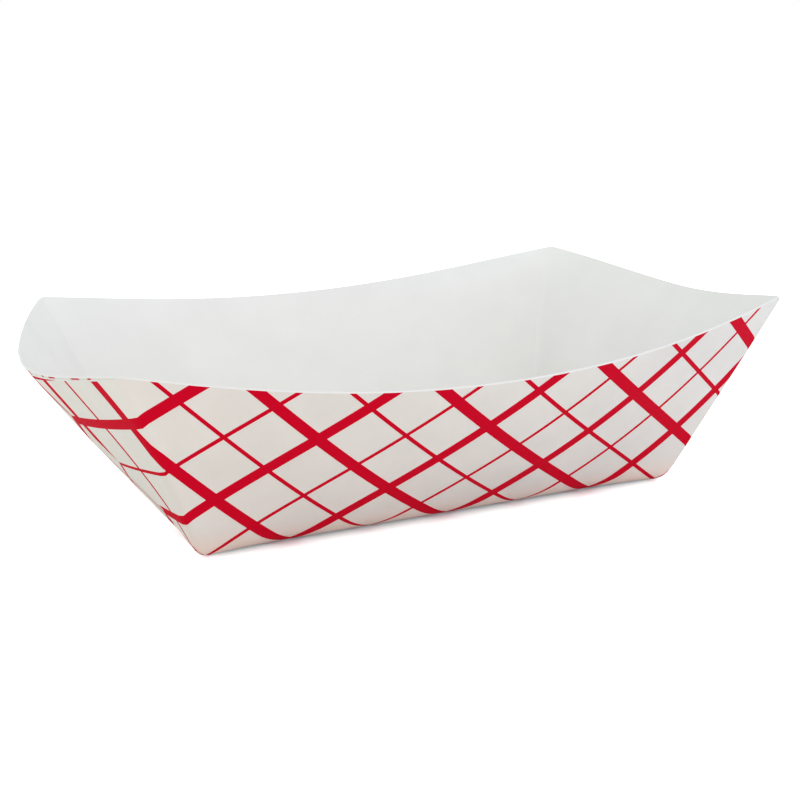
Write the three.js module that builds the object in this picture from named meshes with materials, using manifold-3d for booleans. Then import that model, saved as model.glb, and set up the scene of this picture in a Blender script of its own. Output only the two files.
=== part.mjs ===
// Paper food tray: one die-cut sheet of paperboard, folded up round a flat base, with an ear at each end
// of both side panels that wraps its corner and is glued to the outside of the end panel.
// Millimetres, +Z up. The long side runs along X, and the base rests on z = 0, centred on the origin.
import * as THREE from "three";
import Module from "manifold-3d";

const degree = Math.PI / 180;

// Board and base
const boardThickness = 0.5;
const baseLength = 125;
const baseWidth = 74;
const foldRounding = 7; // reach of the rounded bend on each side of a base fold, at its middle
const foldCornerRounding = 3; // the same beside a corner
const cornerRounding = 1.6; // reach of the rounded bend on each side of a corner crease

// Side panels, along X. A slope is measured from the horizontal; the corners stand steeper than the middle.
const sideSlant = 54.8; // fold to rim, along the board
const sideMiddleFoldSlope = 43.5 * degree;
const sideMiddleRimSlope = 54.5 * degree;
const sideCornerFoldSlope = 62 * degree;
const sideCornerRimSlope = 69.5 * degree;
const sideSagPower = 2.1; // how flat the sagging middle is, along the panel

// End panels, along Y
const endMiddleFoldSlope = 51.5 * degree;
const endMiddleRimSlope = 56.5 * degree;
const endCornerFoldSlope = 73.5 * degree;
const endCornerRimSlope = 65.5 * degree;
const endSagPower = 1.8;

// Glued ears
const earReach = 45.4; // along the end rim, from the corner
const earDrop = 0.4; // how far the ear's upper edge lies under the end rim
const earFoot = 2.5; // height of the ear's narrow lower end above the base fold

// Facets
const endSteps = 10;
const sideSteps = 13;
const cornerSteps = 4;
const foldSteps = 8;
const panelSteps = 9;
const earSteps = 9;

// Out and up from the fold, at a share of a panel's slant. The section is an arc that turns from its slope
// at the fold to its slope at the rim. A negative share lies on the base.
function section(share, slant, foldSlope, rimSlope) {
  if (share <= 0) return { out: share * slant, up: 0 };
  const turn = rimSlope - foldSlope;
  const slope = foldSlope + turn * share;
  return {
    out: (slant / turn) * (Math.sin(slope) - Math.sin(foldSlope)),
    up: (slant / turn) * (Math.cos(foldSlope) - Math.cos(slope)),
  };
}

const cornerHeight = section(1, sideSlant, sideCornerFoldSlope, sideCornerRimSlope).up;
const endSlant = cornerHeight / section(1, 1, endCornerFoldSlope, endCornerRimSlope).up;

const sideCornerSection = (share) =>
  section(share, sideSlant, sideCornerFoldSlope, sideCornerRimSlope);
const endCornerSection = (share) =>
  section(share, endSlant, endCornerFoldSlope, endCornerRimSlope);

// The corner crease, where a side panel and an end panel meet.
function creasePoint(share) {
  return new THREE.Vector3(
    baseLength / 2 + endCornerSection(share).out,
    baseWidth / 2 + sideCornerSection(share).out,
    sideCornerSection(share).up,
  );
}

// Outer face of the side panel at +Y: across is 0 in the middle and 1 at the crease.
function sidePoint(across, share) {
  const lift = Math.abs(across) ** sideSagPower;
  const { out, up } = section(
    share,
    sideSlant,
    THREE.MathUtils.lerp(sideMiddleFoldSlope, sideCornerFoldSlope, lift),
    THREE.MathUtils.lerp(sideMiddleRimSlope, sideCornerRimSlope, lift),
  );
  return new THREE.Vector3(across * creasePoint(share).x, baseWidth / 2 + out, up);
}

// Outer face of the end panel at +X. Near the crease it eases onto the crease's own height.
function endPoint(across, share) {
  const lift = Math.abs(across) ** endSagPower;
  const crease = creasePoint(share);
  const { out, up } = section(
    share,
    endSlant,
    THREE.MathUtils.lerp(endMiddleFoldSlope, endCornerFoldSlope, lift),
    THREE.MathUtils.lerp(endMiddleRimSlope, endCornerRimSlope, lift),
  );
  const ease = (crease.z - endCornerSection(share).up) * across ** 4;
  return new THREE.Vector3(baseLength / 2 + out, across * crease.y, up + ease);
}

// A bend from one point to another that leaves and arrives along the lines to the corner between them.
function bend(from, corner, to, t) {
  return new THREE.QuadraticBezierCurve3(from, corner, to).getPoint(t);
}

// Outer face of one quarter of the tray. Around runs 0 to 1 along the end panel from its middle, 1 to 2
// round the corner, and 2 to 3 along the side panel to its middle.
function sharpFace(around, share) {
  const crease = creasePoint(share);
  const endShare = 1 - cornerRounding / crease.y;
  const sideShare = 1 - cornerRounding / crease.x;
  if (around <= 1) return endPoint(endShare * around, share);
  if (around >= 2) return sidePoint(sideShare * (3 - around), share);
  return bend(endPoint(endShare, share), crease, sidePoint(sideShare, share), around - 1);
}

// The same face with its rounded base fold, which is tighter at the corners.
function face(around, share) {
  const across = Math.min(1, around, 3 - around);
  const reach = THREE.MathUtils.lerp(foldRounding, foldCornerRounding, across ** 6) / sideSlant;
  if (Math.abs(share) >= reach) return sharpFace(around, share);
  return bend(
    sharpFace(around, -reach),
    sharpFace(around, 0),
    sharpFace(around, reach),
    (share + reach) / (2 * reach),
  );
}

// A point at a height above that face, outward if positive.
function layer(around, share, height) {
  const step = 1e-3;
  const along = face(around + step, share).sub(face(around - step, share));
  const rising = face(around, share + step).sub(face(around, share - step));
  return along.cross(rising).normalize().multiplyScalar(height).add(face(around, share));
}

function steps(from, to, count) {
  return Array.from({ length: count + 1 }, (_, i) => from + ((to - from) * i) / count);
}

// Lists of stations: around one quarter, and from the base up to the rim.
const quarterStations = [
  ...steps(0, 1, endSteps),
  ...steps(1, 2, cornerSteps).slice(1),
  ...steps(2, 3, sideSteps).slice(1),
];
const foldShare = foldRounding / sideSlant;
const riseStations = [
  ...steps(-foldShare, foldShare, foldSteps),
  ...steps(foldShare, 1, panelSteps).slice(1),
];

// One closed ring round the tray, made of a quarter and its mirror images, anticlockwise from above.
function ring(share, height) {
  const count = quarterStations.length - 1;
  const points = [];
  for (const [signX, signY, mirrored] of [
    [1, 1, false],
    [-1, 1, true],
    [-1, -1, false],
    [1, -1, true],
  ]) {
    for (let i = 0; i < count; i++) {
      const around = quarterStations[mirrored ? count - i : i];
      const point = layer(around, share, height);
      points.push(new THREE.Vector3(point.x * signX, point.y * signY, point.z));
    }
  }
  return points;
}

// Triangles between two closed rows of points that start at the given indices.
function strip(rowA, rowB, count) {
  const faces = [];
  for (let i = 0; i < count; i++) {
    const next = (i + 1) % count;
    faces.push(rowA + i, rowA + next, rowB + next, rowA + i, rowB + next, rowB + i);
  }
  return faces;
}

// The folded sheet: an outer skin up from the base, over the rim and down the inner skin.
function foldedSheet() {
  const rings = [
    ...riseStations.map((share) => ring(share, 0)),
    ...riseStations.map((share) => ring(share, -boardThickness)).reverse(),
  ];
  const count = rings[0].length;
  const points = rings.flat();
  const faces = [];
  for (let row = 0; row < rings.length - 1; row++) {
    faces.push(...strip(row * count, (row + 1) * count, count));
  }
  const under = points.push(new THREE.Vector3(0, 0, 0)) - 1;
  const floor = points.push(new THREE.Vector3(0, 0, boardThickness)) - 1;
  const top = (rings.length - 1) * count;
  for (let i = 0; i < count; i++) {
    const next = (i + 1) % count;
    faces.push(i, under, next, top + i, top + next, floor);
  }
  return { points, faces };
}

// One glued ear in the +X +Y quarter: it starts inside the board on the side panel, rises to a full
// board thickness round the corner, and ends at a free edge that slants down to the base corner.
function gluedEar() {
  const topShare = 1 - earDrop / endSlant;
  const footShare = earFoot / endSlant;
  const shares = steps(footShare, topShare, panelSteps);
  const rows = shares.map((share) => {
    const freeEdge = 1 - (earReach * share) / (topShare * creasePoint(share).y);
    const stations = [...steps(2, 1, cornerSteps), ...steps(1, freeEdge, earSteps).slice(1)];
    const rise = (around) => Math.min(1, 2 - around) * 1.2 - 0.2;
    const outer = stations.map((a) => layer(a, share, boardThickness * rise(a)));
    const inner = stations.map((a) => layer(a, share, -boardThickness / 2));
    return [...outer, ...inner.reverse()];
  });
  const count = rows[0].length;
  const points = rows.flat();
  const faces = [];
  for (let row = 0; row < rows.length - 1; row++) {
    faces.push(...strip(row * count, (row + 1) * count, count).reverse());
  }
  const top = (rows.length - 1) * count;
  for (let i = 0; i < count / 2 - 1; i++) {
    const back = count - 1 - i;
    faces.push(i, i + 1, back - 1, i, back - 1, back);
    faces.push(top + i, top + back - 1, top + i + 1, top + i, top + back, top + back - 1);
  }
  return { points, faces };
}

const wasm = await Module();
wasm.setup();

// A closed solid from points and faces, mirrored across the tray where a sign is negative.
function solid({ points, faces }, signX = 1, signY = 1) {
  const vertProperties = new Float32Array(
    points.flatMap((point) => [point.x * signX, point.y * signY, point.z]),
  );
  const triVerts = new Uint32Array(faces);
  if (signX * signY < 0) triVerts.reverse();
  return new wasm.Manifold(new wasm.Mesh({ numProp: 3, vertProperties, triVerts }));
}

function geometryOf(manifold) {
  const mesh = manifold.getMesh();
  const geometry = new THREE.BufferGeometry();
  geometry.setAttribute("position", new THREE.BufferAttribute(mesh.vertProperties, 3));
  geometry.setIndex(new THREE.BufferAttribute(mesh.triVerts, 1));
  geometry.computeVertexNormals();
  return geometry;
}

function tray() {
  const ear = gluedEar();
  let board = solid(foldedSheet());
  for (const signX of [1, -1]) {
    for (const signY of [1, -1]) {
      board = board.add(solid(ear, signX, signY));
    }
  }
  const paper = new THREE.MeshStandardMaterial({ color: 0xe3ded7, roughness: 0.85, metalness: 0 });
  const mesh = new THREE.Mesh(geometryOf(board), paper);
  mesh.name = "tray";
  return mesh;
}

const foodTray = new THREE.Group();
foodTray.add(tray());

export default foodTray;
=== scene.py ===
# Paper food tray: the looks of the folded board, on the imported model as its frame.
from math import cos, radians, sin

import bmesh
import bpy
from mathutils import Matrix, Vector


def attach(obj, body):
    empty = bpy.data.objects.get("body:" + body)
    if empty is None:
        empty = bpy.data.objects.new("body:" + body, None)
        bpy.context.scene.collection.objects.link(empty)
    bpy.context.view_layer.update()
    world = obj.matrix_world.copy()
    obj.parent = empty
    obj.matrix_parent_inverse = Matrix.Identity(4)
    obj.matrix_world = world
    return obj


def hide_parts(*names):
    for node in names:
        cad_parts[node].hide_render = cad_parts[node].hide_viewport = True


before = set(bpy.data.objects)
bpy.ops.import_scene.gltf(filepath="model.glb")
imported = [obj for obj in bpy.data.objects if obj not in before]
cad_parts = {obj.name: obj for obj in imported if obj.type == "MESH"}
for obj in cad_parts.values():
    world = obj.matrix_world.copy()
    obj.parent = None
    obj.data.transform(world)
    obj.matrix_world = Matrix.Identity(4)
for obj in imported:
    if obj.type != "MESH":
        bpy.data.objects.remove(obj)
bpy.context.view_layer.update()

mm = 0.001


# Camera: the view of the photograph, worked out from the tray's corners, rims and print.
view = {
    "azimuth": radians(-21.15),
    "elevation": radians(13.82),
    "roll": radians(-2.57),
    "distance": 369.6 * mm,
    "aimRight": 2.93 * mm,
    "aimUp": 21.23 * mm,
    "lens": 61.09,
    "sensor": 36.0,
    "nearest": 10 * mm,  # nothing closer than this is drawn
}


def addCamera():
    az, el, roll = view["azimuth"], view["elevation"], view["roll"]
    back = Vector((sin(az) * cos(el), -cos(az) * cos(el), sin(el)))
    level = Vector((cos(az), sin(az), 0))
    rise = back.cross(level)
    right = level * cos(roll) + rise * sin(roll)
    up = rise * cos(roll) - level * sin(roll)
    place = level * view["aimRight"] + rise * view["aimUp"] + back * view["distance"]
    data = bpy.data.cameras.new("photoCamera")
    data.sensor_width = view["sensor"]
    data.lens = view["lens"]
    data.clip_start = view["nearest"]
    camera = bpy.data.objects.new("photoCamera", data)
    axes = Matrix((right, up, back)).transposed().to_4x4()
    camera.matrix_world = Matrix.Translation(place) @ axes
    bpy.context.scene.collection.objects.link(camera)
    bpy.context.scene.camera = camera


addCamera()
print("camera ready")


# Shader maths: an expression on fields adds its own Math nodes.
class Field:
    def __init__(self, tree, socket):
        self.tree = tree
        self.socket = socket

    def make(self, operation, first, second=0.0):
        made = addNode(self.tree, "ShaderNodeMath", {"operation": operation}, {0: first, 1: second})
        return Field(self.tree, made.outputs[0])

    def __add__(self, other):
        return self.make("ADD", self, other)

    def __radd__(self, other):
        return self.make("ADD", other, self)

    def __sub__(self, other):
        return self.make("SUBTRACT", self, other)

    def __rsub__(self, other):
        return self.make("SUBTRACT", other, self)

    def __mul__(self, other):
        return self.make("MULTIPLY", self, other)

    def __rmul__(self, other):
        return self.make("MULTIPLY", other, self)

    def __truediv__(self, other):
        return self.make("DIVIDE", self, other)

    def __rtruediv__(self, other):
        return self.make("DIVIDE", other, self)

    def __abs__(self):
        return self.make("ABSOLUTE", self)

    def power(self, other):
        return self.make("POWER", self, other)

    def fraction(self):
        return self.make("FRACT", self)

    def larger(self, other):
        return self.make("MAXIMUM", self, other)

    def smaller(self, other):
        return self.make("MINIMUM", self, other)

    def below(self, other):
        return self.make("LESS_THAN", self, other)


def addNode(tree, kind, settings=None, sockets=None):
    made = tree.nodes.new(kind)
    for name, value in (settings or {}).items():
        setattr(made, name, value)
    for name, value in (sockets or {}).items():
        if isinstance(value, Field):
            tree.links.new(value.socket, made.inputs[name])
        elif isinstance(value, bpy.types.NodeSocket):
            tree.links.new(value, made.inputs[name])
        else:
            made.inputs[name].default_value = value
    return made


def newMaterial(name):
    material = bpy.data.materials.new(name)
    material.use_nodes = True
    tree = material.node_tree
    tree.nodes.clear()
    return material, tree


# The tray's shape, in millimetres: the same fold as the solid has.
tray = {
    "thickness": 0.5,
    "baseLength": 125,
    "baseWidth": 74,
    "foldRounding": (7, 3),  # middle, corner
    "cornerRounding": 1.6,
    "side": {"slant": 54.8, "fold": (43.5, 62), "rim": (54.5, 69.5), "sag": 2.1},  # slopes: middle, corner
    "end": {"fold": (51.5, 73.5), "rim": (56.5, 65.5), "sag": 1.8},
    "earReach": 45.4,
    "earDrop": 0.4,
    "earFoot": 2.5,  # height of the ear's narrow lower end above the base fold
    "underEar": 1.97,  # how far round the corner the end panel runs on under its ear
    "sharpAngle": 40,
    "rimHalfLength": 83.3,  # along the cut edge of the flat sheet
    "rimHalfWidth": 61.6,
    "sheet": 300,  # the square of flat board that the print map covers
}


def mix(low, high, t):
    return low + (high - low) * t


def section(share, slant, fold, rim):
    if share <= 0:
        return share * slant, 0.0
    turn = rim - fold
    slope = fold + turn * share
    return slant / turn * (sin(slope) - sin(fold)), slant / turn * (cos(fold) - cos(slope))


def slopes(panel, across):
    lift = abs(across) ** panel["sag"]
    return radians(mix(*panel["fold"], lift)), radians(mix(*panel["rim"], lift))


def creaseSection(panel, share):
    return section(share, panel["slant"], *slopes(panel, 1))


side, end = tray["side"], tray["end"]
end["slant"] = creaseSection(side, 1)[1] / section(1, 1, *slopes(end, 1))[1]


def creasePoint(share):
    sideOut, up = creaseSection(side, share)
    endOut, _ = creaseSection(end, share)
    return Vector((tray["baseLength"] / 2 + endOut, tray["baseWidth"] / 2 + sideOut, up))


def sidePoint(across, share):
    out, up = section(share, side["slant"], *slopes(side, across))
    return Vector((across * creasePoint(share).x, tray["baseWidth"] / 2 + out, up))


def endPoint(across, share):
    out, up = section(share, end["slant"], *slopes(end, across))
    crease = creasePoint(share)
    ease = (crease.z - creaseSection(end, share)[1]) * across ** 4
    return Vector((tray["baseLength"] / 2 + out, across * crease.y, up + ease))


def bend(start, corner, finish, t):
    return start * (1 - t) ** 2 + corner * (2 * t * (1 - t)) + finish * t ** 2


def trims(share):
    crease = creasePoint(share)
    return 1 - tray["cornerRounding"] / crease.y, 1 - tray["cornerRounding"] / crease.x


# Around: 0 to 1 along the end panel from its middle, 1 to 2 round the corner, 2 to 3 along the side.
def sharpFace(around, share):
    endTrim, sideTrim = trims(share)
    if around <= 1:
        return endPoint(endTrim * around, share)
    if around >= 2:
        return sidePoint(sideTrim * (3 - around), share)
    return bend(endPoint(endTrim, share), creasePoint(share), sidePoint(sideTrim, share), around - 1)


foldShare = tray["foldRounding"][0] / side["slant"]


def face(around, share):
    across = min(1, around, 3 - around)
    reach = mix(*tray["foldRounding"], across ** 6) / side["slant"]
    if abs(share) >= reach:
        return sharpFace(around, share)
    stops = [sharpFace(around, at) for at in (-reach, 0, reach)]
    return bend(*stops, (share + reach) / (2 * reach))


def layer(around, share, height):
    step = 0.001
    along = face(around + step, share) - face(around - step, share)
    rising = face(around, share + step) - face(around, share - step)
    return face(around, share) + along.cross(rising).normalized() * height


# Where a point lies on the flat sheet, in millimetres from its middle.
def flatSide(across, share):
    half = mix(tray["baseLength"] / 2, tray["rimHalfLength"], share) if share > 0 else creasePoint(share).x
    return Vector((across * half, tray["baseWidth"] / 2 + share * side["slant"]))


def flatEnd(across, share):
    half = mix(tray["baseWidth"] / 2, tray["rimHalfWidth"], share) if share > 0 else creasePoint(share).y
    return Vector((tray["baseLength"] / 2 + share * end["slant"], across * half))


def flatEar(across, share):
    # the ear opens about the corner crease into the side panel's plane, each point as far from it as before
    step = 0.01
    corner = creasePoint(share)
    climb = (creasePoint(share + step) - corner).normalized()
    reach = endPoint(across, share) - corner
    along = reach.dot(climb)
    away = (reach - climb * along).length
    crease = (flatSide(1, 1) - flatSide(1, 0.001)).normalized()
    return flatSide(1, share) + crease * along + Vector((crease.y, -crease.x)) * away


grid = {
    "foldRows": 16,
    "rows": 48,
    "earColumns": 16,
    "cornerColumns": 8,
    "sideColumns": 44,
    "endColumns": 34,
    "mergeDistance": 0.002,
}


def rowShare(j):
    # j runs 0 to 1 from the base to the rim
    split = grid["foldRows"] / grid["rows"]
    if j <= split:
        return mix(-foldShare, foldShare, j / split)
    return mix(foldShare, 1, (j - split) / (1 - split))


footShare = tray["earFoot"] / end["slant"]


def quarterSide(t, j):
    # t runs 0 to 1 from the ear's free edge to the middle of the side panel
    share = rowShare(j)
    ear, corner = grid["earColumns"], grid["cornerColumns"]
    column = t * (ear + corner + grid["sideColumns"])
    if share > footShare:
        # the ear comes up over the end panel, to a full board thickness at twice its foot's height
        rise = min(1, 0.2 + 0.8 * (share - footShare) / footShare)
        freeEdge = 1 - tray["earReach"] * share / creasePoint(share).y
    else:
        rise, freeEdge = 0, 1.5
    if column <= ear + corner:
        if column <= ear and freeEdge < 1:
            around = mix(freeEdge, 1, column / ear)
        elif freeEdge < 1:
            around = 1 + (column - ear) / corner
        else:
            around = 1.5 + 0.5 * max(0, (column - ear) / corner)
    else:
        around = 2 + (column - ear - corner) / grid["sideColumns"]
    wrap = min(1, max(0, 2 - around))
    if share > 0:
        share *= 1 - wrap * tray["earDrop"] / end["slant"]
    height = tray["thickness"] * wrap * rise
    endTrim, sideTrim = trims(share)
    if around >= 2:
        flat = flatSide(sideTrim * (3 - around), share)
    elif around >= 1.5:
        flat = flatSide(mix(1, sideTrim, (around - 1.5) * 2), share)
    elif around >= 1:
        flat = flatEar(mix(endTrim, 1, (around - 1) * 2), share)
    else:
        flat = flatEar(endTrim * around, share)
    return layer(around, share, height), flat


def quarterEnd(t, j):
    # t runs 0 to 1 from the corner to the middle of the end panel, which lies under its ears
    share = rowShare(j)
    corner = grid["cornerColumns"] / 2
    column = t * (corner + grid["endColumns"])
    first = tray["underEar"] if share > footShare else 1.5
    if column <= corner:
        around = mix(first, 1, column / corner)
    else:
        around = 1 - (column - corner) / grid["endColumns"]
    endTrim, _ = trims(share)
    if around > 1:
        flat = flatEnd(mix(endTrim, 1, min(1, (around - 1) * 2)), share)
    else:
        flat = flatEnd(endTrim * around, share)
    return face(around, share), flat


def foldSheet(bm, printMap, columns, quarter, signX, signY, alongX):
    # half of the sheet mirrors the other half across the middle of the panel
    made = bmesh.ops.create_grid(bm, x_segments=columns * 2, y_segments=grid["rows"], size=0.5)["verts"]
    flats = {}
    for vert in made:
        t, j = vert.co.x + 0.5, vert.co.y + 0.5
        nearHalf = t <= 0.5
        point, flat = quarter(2 * t if nearHalf else 2 - 2 * t, j)
        turnX = signX if (nearHalf or not alongX) else -signX
        turnY = signY if (nearHalf or alongX) else -signY
        vert.co = Vector((point.x * turnX, point.y * turnY, point.z))
        flats[vert] = (flat.x * turnX / tray["sheet"] + 0.5, flat.y * turnY / tray["sheet"] + 0.5)
    for meshFace in {linked for vert in made for linked in vert.link_faces}:
        for loop in meshFace.loops:
            loop[printMap].uv = flats[loop.vert]


def applyModifiers(piece):
    bpy.context.view_layer.update()
    made = bpy.data.meshes.new_from_object(piece.evaluated_get(bpy.context.evaluated_depsgraph_get()))
    piece.modifiers.clear()
    piece.data = made


def addTray(materials):
    bm = bmesh.new()
    printMap = bm.loops.layers.uv.new("flatSheet")
    sideColumns = grid["earColumns"] + grid["cornerColumns"] + grid["sideColumns"]
    endColumns = grid["cornerColumns"] // 2 + grid["endColumns"]
    for sign in (1, -1):
        foldSheet(bm, printMap, sideColumns, quarterSide, 1, sign, True)
        foldSheet(bm, printMap, endColumns, quarterEnd, sign, 1, False)
    merge = grid["mergeDistance"]
    bmesh.ops.remove_doubles(bm, verts=bm.verts, dist=merge)
    openEdges = [edge for edge in bm.edges if edge.is_boundary]
    baseEdge = [edge for edge in openEdges if all(vert.co.z < merge / 2 for vert in edge.verts)]
    base = bmesh.ops.edgeloop_fill(bm, edges=baseEdge)["faces"]
    for meshFace in base:
        for loop in meshFace.loops:
            loop[printMap].uv = [value / tray["sheet"] + 0.5 for value in loop.vert.co.xy]
    bmesh.ops.recalc_face_normals(bm, faces=bm.faces)
    lowest = min(bm.faces, key=lambda f: f.calc_center_median().z)
    if lowest.normal.z > 0:
        bmesh.ops.reverse_faces(bm, faces=bm.faces)
    bmesh.ops.scale(bm, vec=(mm, mm, mm), verts=bm.verts)
    for meshFace in bm.faces:
        meshFace.smooth = True
    mesh = bpy.data.meshes.new("foldedTray")
    bm.to_mesh(mesh)
    bm.free()
    piece = bpy.data.objects.new("foldedTray", mesh)
    bpy.context.scene.collection.objects.link(piece)
    for material in materials:
        mesh.materials.append(material)
    board = piece.modifiers.new("board", "SOLIDIFY")
    board.thickness = tray["thickness"] * mm
    board.offset = -1
    board.use_even_offset = True
    board.use_quality_normals = True
    board.material_offset = 1
    board.material_offset_rim = 2
    applyModifiers(piece)
    piece.data.set_sharp_from_angle(angle=radians(tray["sharpAngle"]))
    return piece


# The print: a square lattice at 45 degrees on the flat sheet, its lines thick and thin by turns both ways.
lattice = {
    "period": 40.57,  # mm along the sheet, from one thick line to the next
    "startX": -122.42,  # a crossing of two thick lines, from the middle of the flat sheet
    "startY": -77.19,
    "thick": 0.104,  # widths as shares of the period
    "thin": 0.038,
    "red": (0.56, 0.0, 0.015, 1),
}

paperboard = {
    "outside": {"colour": (0.738, 0.680, 0.617, 1), "cloud": 0.35, "roughness": 0.62, "grain": 0.03 * mm},
    "inside": {"colour": (0.78, 0.778, 0.762, 1), "cloud": 0.2, "roughness": 0.8, "grain": 0.04 * mm},
    "cut": {"rim": (0.73, 0.72, 0.70, 1), "ear": (0.6, 0.5, 0.4, 1), "roughness": 0.9, "grain": 0.06 * mm},
    "rimHeights": (38 * mm, 41 * mm),  # the cut edge is browner below these and white above them
    "paintedBottomTint": (0.90, 0.57, 0.44, 1),  # warm tint painted on the outside towards the bottom, by height alone: partly painted light, its red above the paper's to lift the shade near the floor, and partly a browner tone towards the bottom
    "paintedBottomTintShare": 0.4,
    "paintedBottomTintHeights": (0.8 * mm, 9 * mm),  # strongest at the first, gone at the second
    "grainScale": 900.0,
    "cloudScale": 60.0,
    "cloudShade": 0.8,
    "bumpStrength": 0.25,
    "specular": 0.03,
}


def paperGrain(tree, scale, high):
    # a fine noise from 0 to the given value
    place = addNode(tree, "ShaderNodeTexCoord").outputs["Object"]
    grain = addNode(
        tree, "ShaderNodeTexNoise", None,
        {"Vector": place, "Scale": scale, "Detail": 5.0, "Roughness": 0.6},
    )
    spread = addNode(
        tree, "ShaderNodeMapRange", None,
        {"Value": grain.outputs["Fac"], "From Min": 0.3, "From Max": 0.7, "To Min": 0.0, "To Max": high},
    )
    return Field(tree, spread.outputs[0])


def objectParts(tree):
    place = addNode(tree, "ShaderNodeTexCoord").outputs["Object"]
    parts = addNode(tree, "ShaderNodeSeparateXYZ", None, {0: place})
    return [Field(tree, output) for output in parts.outputs]


def smoothRamp(tree, value, start, stop):
    # 0 at the start, 1 at the stop
    made = addNode(
        tree, "ShaderNodeMapRange", {"interpolation_type": "SMOOTHSTEP"},
        {"Value": value, "From Min": start, "From Max": stop},
    )
    return Field(tree, made.outputs[0])


def lineFamily(across, width, shift):
    # 1 on a line, 0 off it, for lines one period apart
    distance = abs((across + shift).fraction() - 0.5)
    return distance.below(width / 2)


def boardShader(tree, colour, finish):
    grain = paperGrain(tree, paperboard["grainScale"], 1.0)
    bump = addNode(
        tree, "ShaderNodeBump", None,
        {"Strength": paperboard["bumpStrength"], "Distance": finish["grain"], "Height": grain},
    )
    shader = addNode(
        tree, "ShaderNodeBsdfPrincipled", None,
        {
            "Base Color": colour,
            "Roughness": finish["roughness"],
            "Specular IOR Level": paperboard["specular"],
            "Normal": bump.outputs[0],
        },
    )
    addNode(tree, "ShaderNodeOutputMaterial", None, {"Surface": shader.outputs[0]})


def mixColour(tree, factor, low, high):
    made = addNode(tree, "ShaderNodeMix", {"data_type": "RGBA"}, {0: factor, 6: low, 7: high})
    return made.outputs[2]


def mottled(tree, finish):
    cloud = paperGrain(tree, paperboard["cloudScale"], finish["cloud"])
    darker = tuple(value * paperboard["cloudShade"] for value in finish["colour"][:3]) + (1,)
    return mixColour(tree, cloud, finish["colour"], darker)


def printedBoard():
    material, tree = newMaterial("printedBoard")
    finish = paperboard["outside"]
    flat = addNode(tree, "ShaderNodeUVMap", {"uv_map": "flatSheet"}).outputs[0]
    parts = addNode(tree, "ShaderNodeSeparateXYZ", None, {0: flat})
    sheet = tray["sheet"]
    x = (Field(tree, parts.outputs[0]) - 0.5) * sheet - lattice["startX"]
    y = (Field(tree, parts.outputs[1]) - 0.5) * sheet - lattice["startY"]
    falling = (x - y) / lattice["period"]
    rising = (x + y) / lattice["period"]
    height = objectParts(tree)[2]
    # painted light near the bottom: a warm tint by height that lifts the red in the shade near the floor
    # and browns the green and blue
    strongest, gone = paperboard["paintedBottomTintHeights"]
    paintedBottomTintMask = smoothRamp(tree, height, 0.0, strongest) * smoothRamp(tree, height, gone, strongest)
    ink = lineFamily(falling, lattice["thick"], 0.5)
    ink = ink.larger(lineFamily(rising, lattice["thick"], 0.5))
    ink = ink.larger(lineFamily(falling, lattice["thin"], 0.0))
    ink = ink.larger(lineFamily(rising, lattice["thin"], 0.0))
    paper = mixColour(tree, paintedBottomTintMask * paperboard["paintedBottomTintShare"], mottled(tree, finish), paperboard["paintedBottomTint"])
    boardShader(tree, mixColour(tree, ink, paper, lattice["red"]), finish)
    return material


def plainBoard():
    material, tree = newMaterial("plainBoard")
    finish = paperboard["inside"]
    boardShader(tree, mottled(tree, finish), finish)
    return material


def cutBoard():
    material, tree = newMaterial("cutBoard")
    finish = paperboard["cut"]
    white = smoothRamp(tree, objectParts(tree)[2], *paperboard["rimHeights"])
    boardShader(tree, mixColour(tree, white, finish["ear"], finish["rim"]), finish)
    return material


piece = addTray([printedBoard(), plainBoard(), cutBoard()])
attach(piece, "root")
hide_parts("tray")
print("tray folded:", len(piece.data.polygons), "faces")


# Floor and light: a white floor that glows past the tray, its glow fading towards the tray as a painted
# contact shadow, two broad lamps, and a low cool one at each end.
studio = {
    "floorHalf": 3.0,
    "floorDrop": 0.1 * mm,
    "floorColour": (0.895, 0.92, 0.93, 1),
    "floorGlow": 0.62,  # seen by the camera only, and fading to none towards the tray: a painted contact shadow over the real one
    "paintedShadowStart": (0.0555, 0.032),  # half sizes of the floor patch with no glow, where the painted shadow is darkest
    "paintedShadowReach": 0.0075,
    "sky": {"Color": (1, 1, 1, 1), "Strength": 1.0},
    "key": {"place": (-0.25, -1.2, 0.25), "size": 1.0, "power": 2.8, "colour": (1, 1, 1)},
    "fill": {"place": (0.9, -0.9, 0.4), "size": 1.0, "power": 1.2, "colour": (1, 1, 1)},
    "right": {"place": (0.3, -0.3, 0.04), "size": 0.15, "power": 0.3, "colour": (0.15, 0.52, 1.0)},
    "left": {"place": (-0.4, 0.15, 0.04), "size": 0.15, "power": 0.27, "colour": (0.45, 1.0, 0.97)},
}


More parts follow.
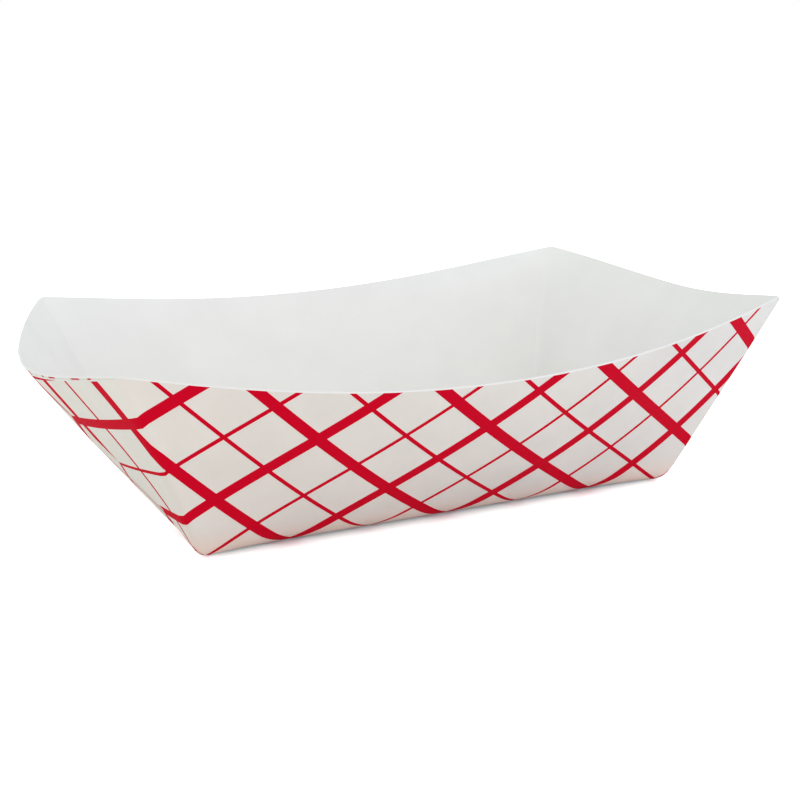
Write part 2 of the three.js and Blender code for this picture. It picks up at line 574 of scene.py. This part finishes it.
def addFloor():
    bm = bmesh.new()
    bmesh.ops.create_grid(bm, x_segments=1, y_segments=1, size=studio["floorHalf"])
    mesh = bpy.data.meshes.new("floor")
    bm.to_mesh(mesh)
    bm.free()
    floor = bpy.data.objects.new("floor", mesh)
    bpy.context.scene.collection.objects.link(floor)
    floor.location.z = -studio["floorDrop"]
    material, tree = newMaterial("floorWhite")
    lit = addNode(tree, "ShaderNodeBsdfDiffuse", None, {"Color": studio["floorColour"]})
    seen = addNode(tree, "ShaderNodeLightPath").outputs["Is Camera Ray"]
    x, y, _ = objectParts(tree)
    # painted contact shadow: the glow ramps from none at the patch's edge to full over the reach
    pastX = (abs(x) - studio["paintedShadowStart"][0]).larger(0.0)
    pastY = (abs(y) - studio["paintedShadowStart"][1]).larger(0.0)
    past = (pastX * pastX + pastY * pastY).power(0.5)
    clear = (past / studio["paintedShadowReach"]).smaller(1.0)
    glowWithPaintedShadow = clear * Field(tree, seen) * studio["floorGlow"]
    glow = addNode(tree, "ShaderNodeEmission", None, {"Color": glowWithPaintedShadow})
    both = addNode(tree, "ShaderNodeAddShader", None, {0: lit.outputs[0], 1: glow.outputs[0]})
    addNode(tree, "ShaderNodeOutputMaterial", None, {"Surface": both.outputs[0]})
    mesh.materials.append(material)


def addLamp(name, settings):
    data = bpy.data.lights.new(name, "AREA")
    data.size = settings["size"]
    data.energy = settings["power"]
    data.color = settings["colour"]
    lamp = bpy.data.objects.new(name, data)
    lamp.location = settings["place"]
    lamp.rotation_euler = (-Vector(settings["place"])).to_track_quat("-Z", "Y").to_euler()
    lamp.visible_camera = False
    bpy.context.scene.collection.objects.link(lamp)


def addWorld():
    world = bpy.data.worlds.new("studioWorld")
    world.use_nodes = True
    tree = world.node_tree
    tree.nodes.clear()
    sky = addNode(tree, "ShaderNodeBackground", None, studio["sky"])
    addNode(tree, "ShaderNodeOutputWorld", None, {"Surface": sky.outputs[0]})
    bpy.context.scene.world = world


addFloor()
addLamp("keyLight", studio["key"])
addLamp("fillLight", studio["fill"])
addLamp("rightLight", studio["right"])
addLamp("leftLight", studio["left"])
addWorld()
bpy.context.scene.view_settings.view_transform = "Standard"
print("studio ready")
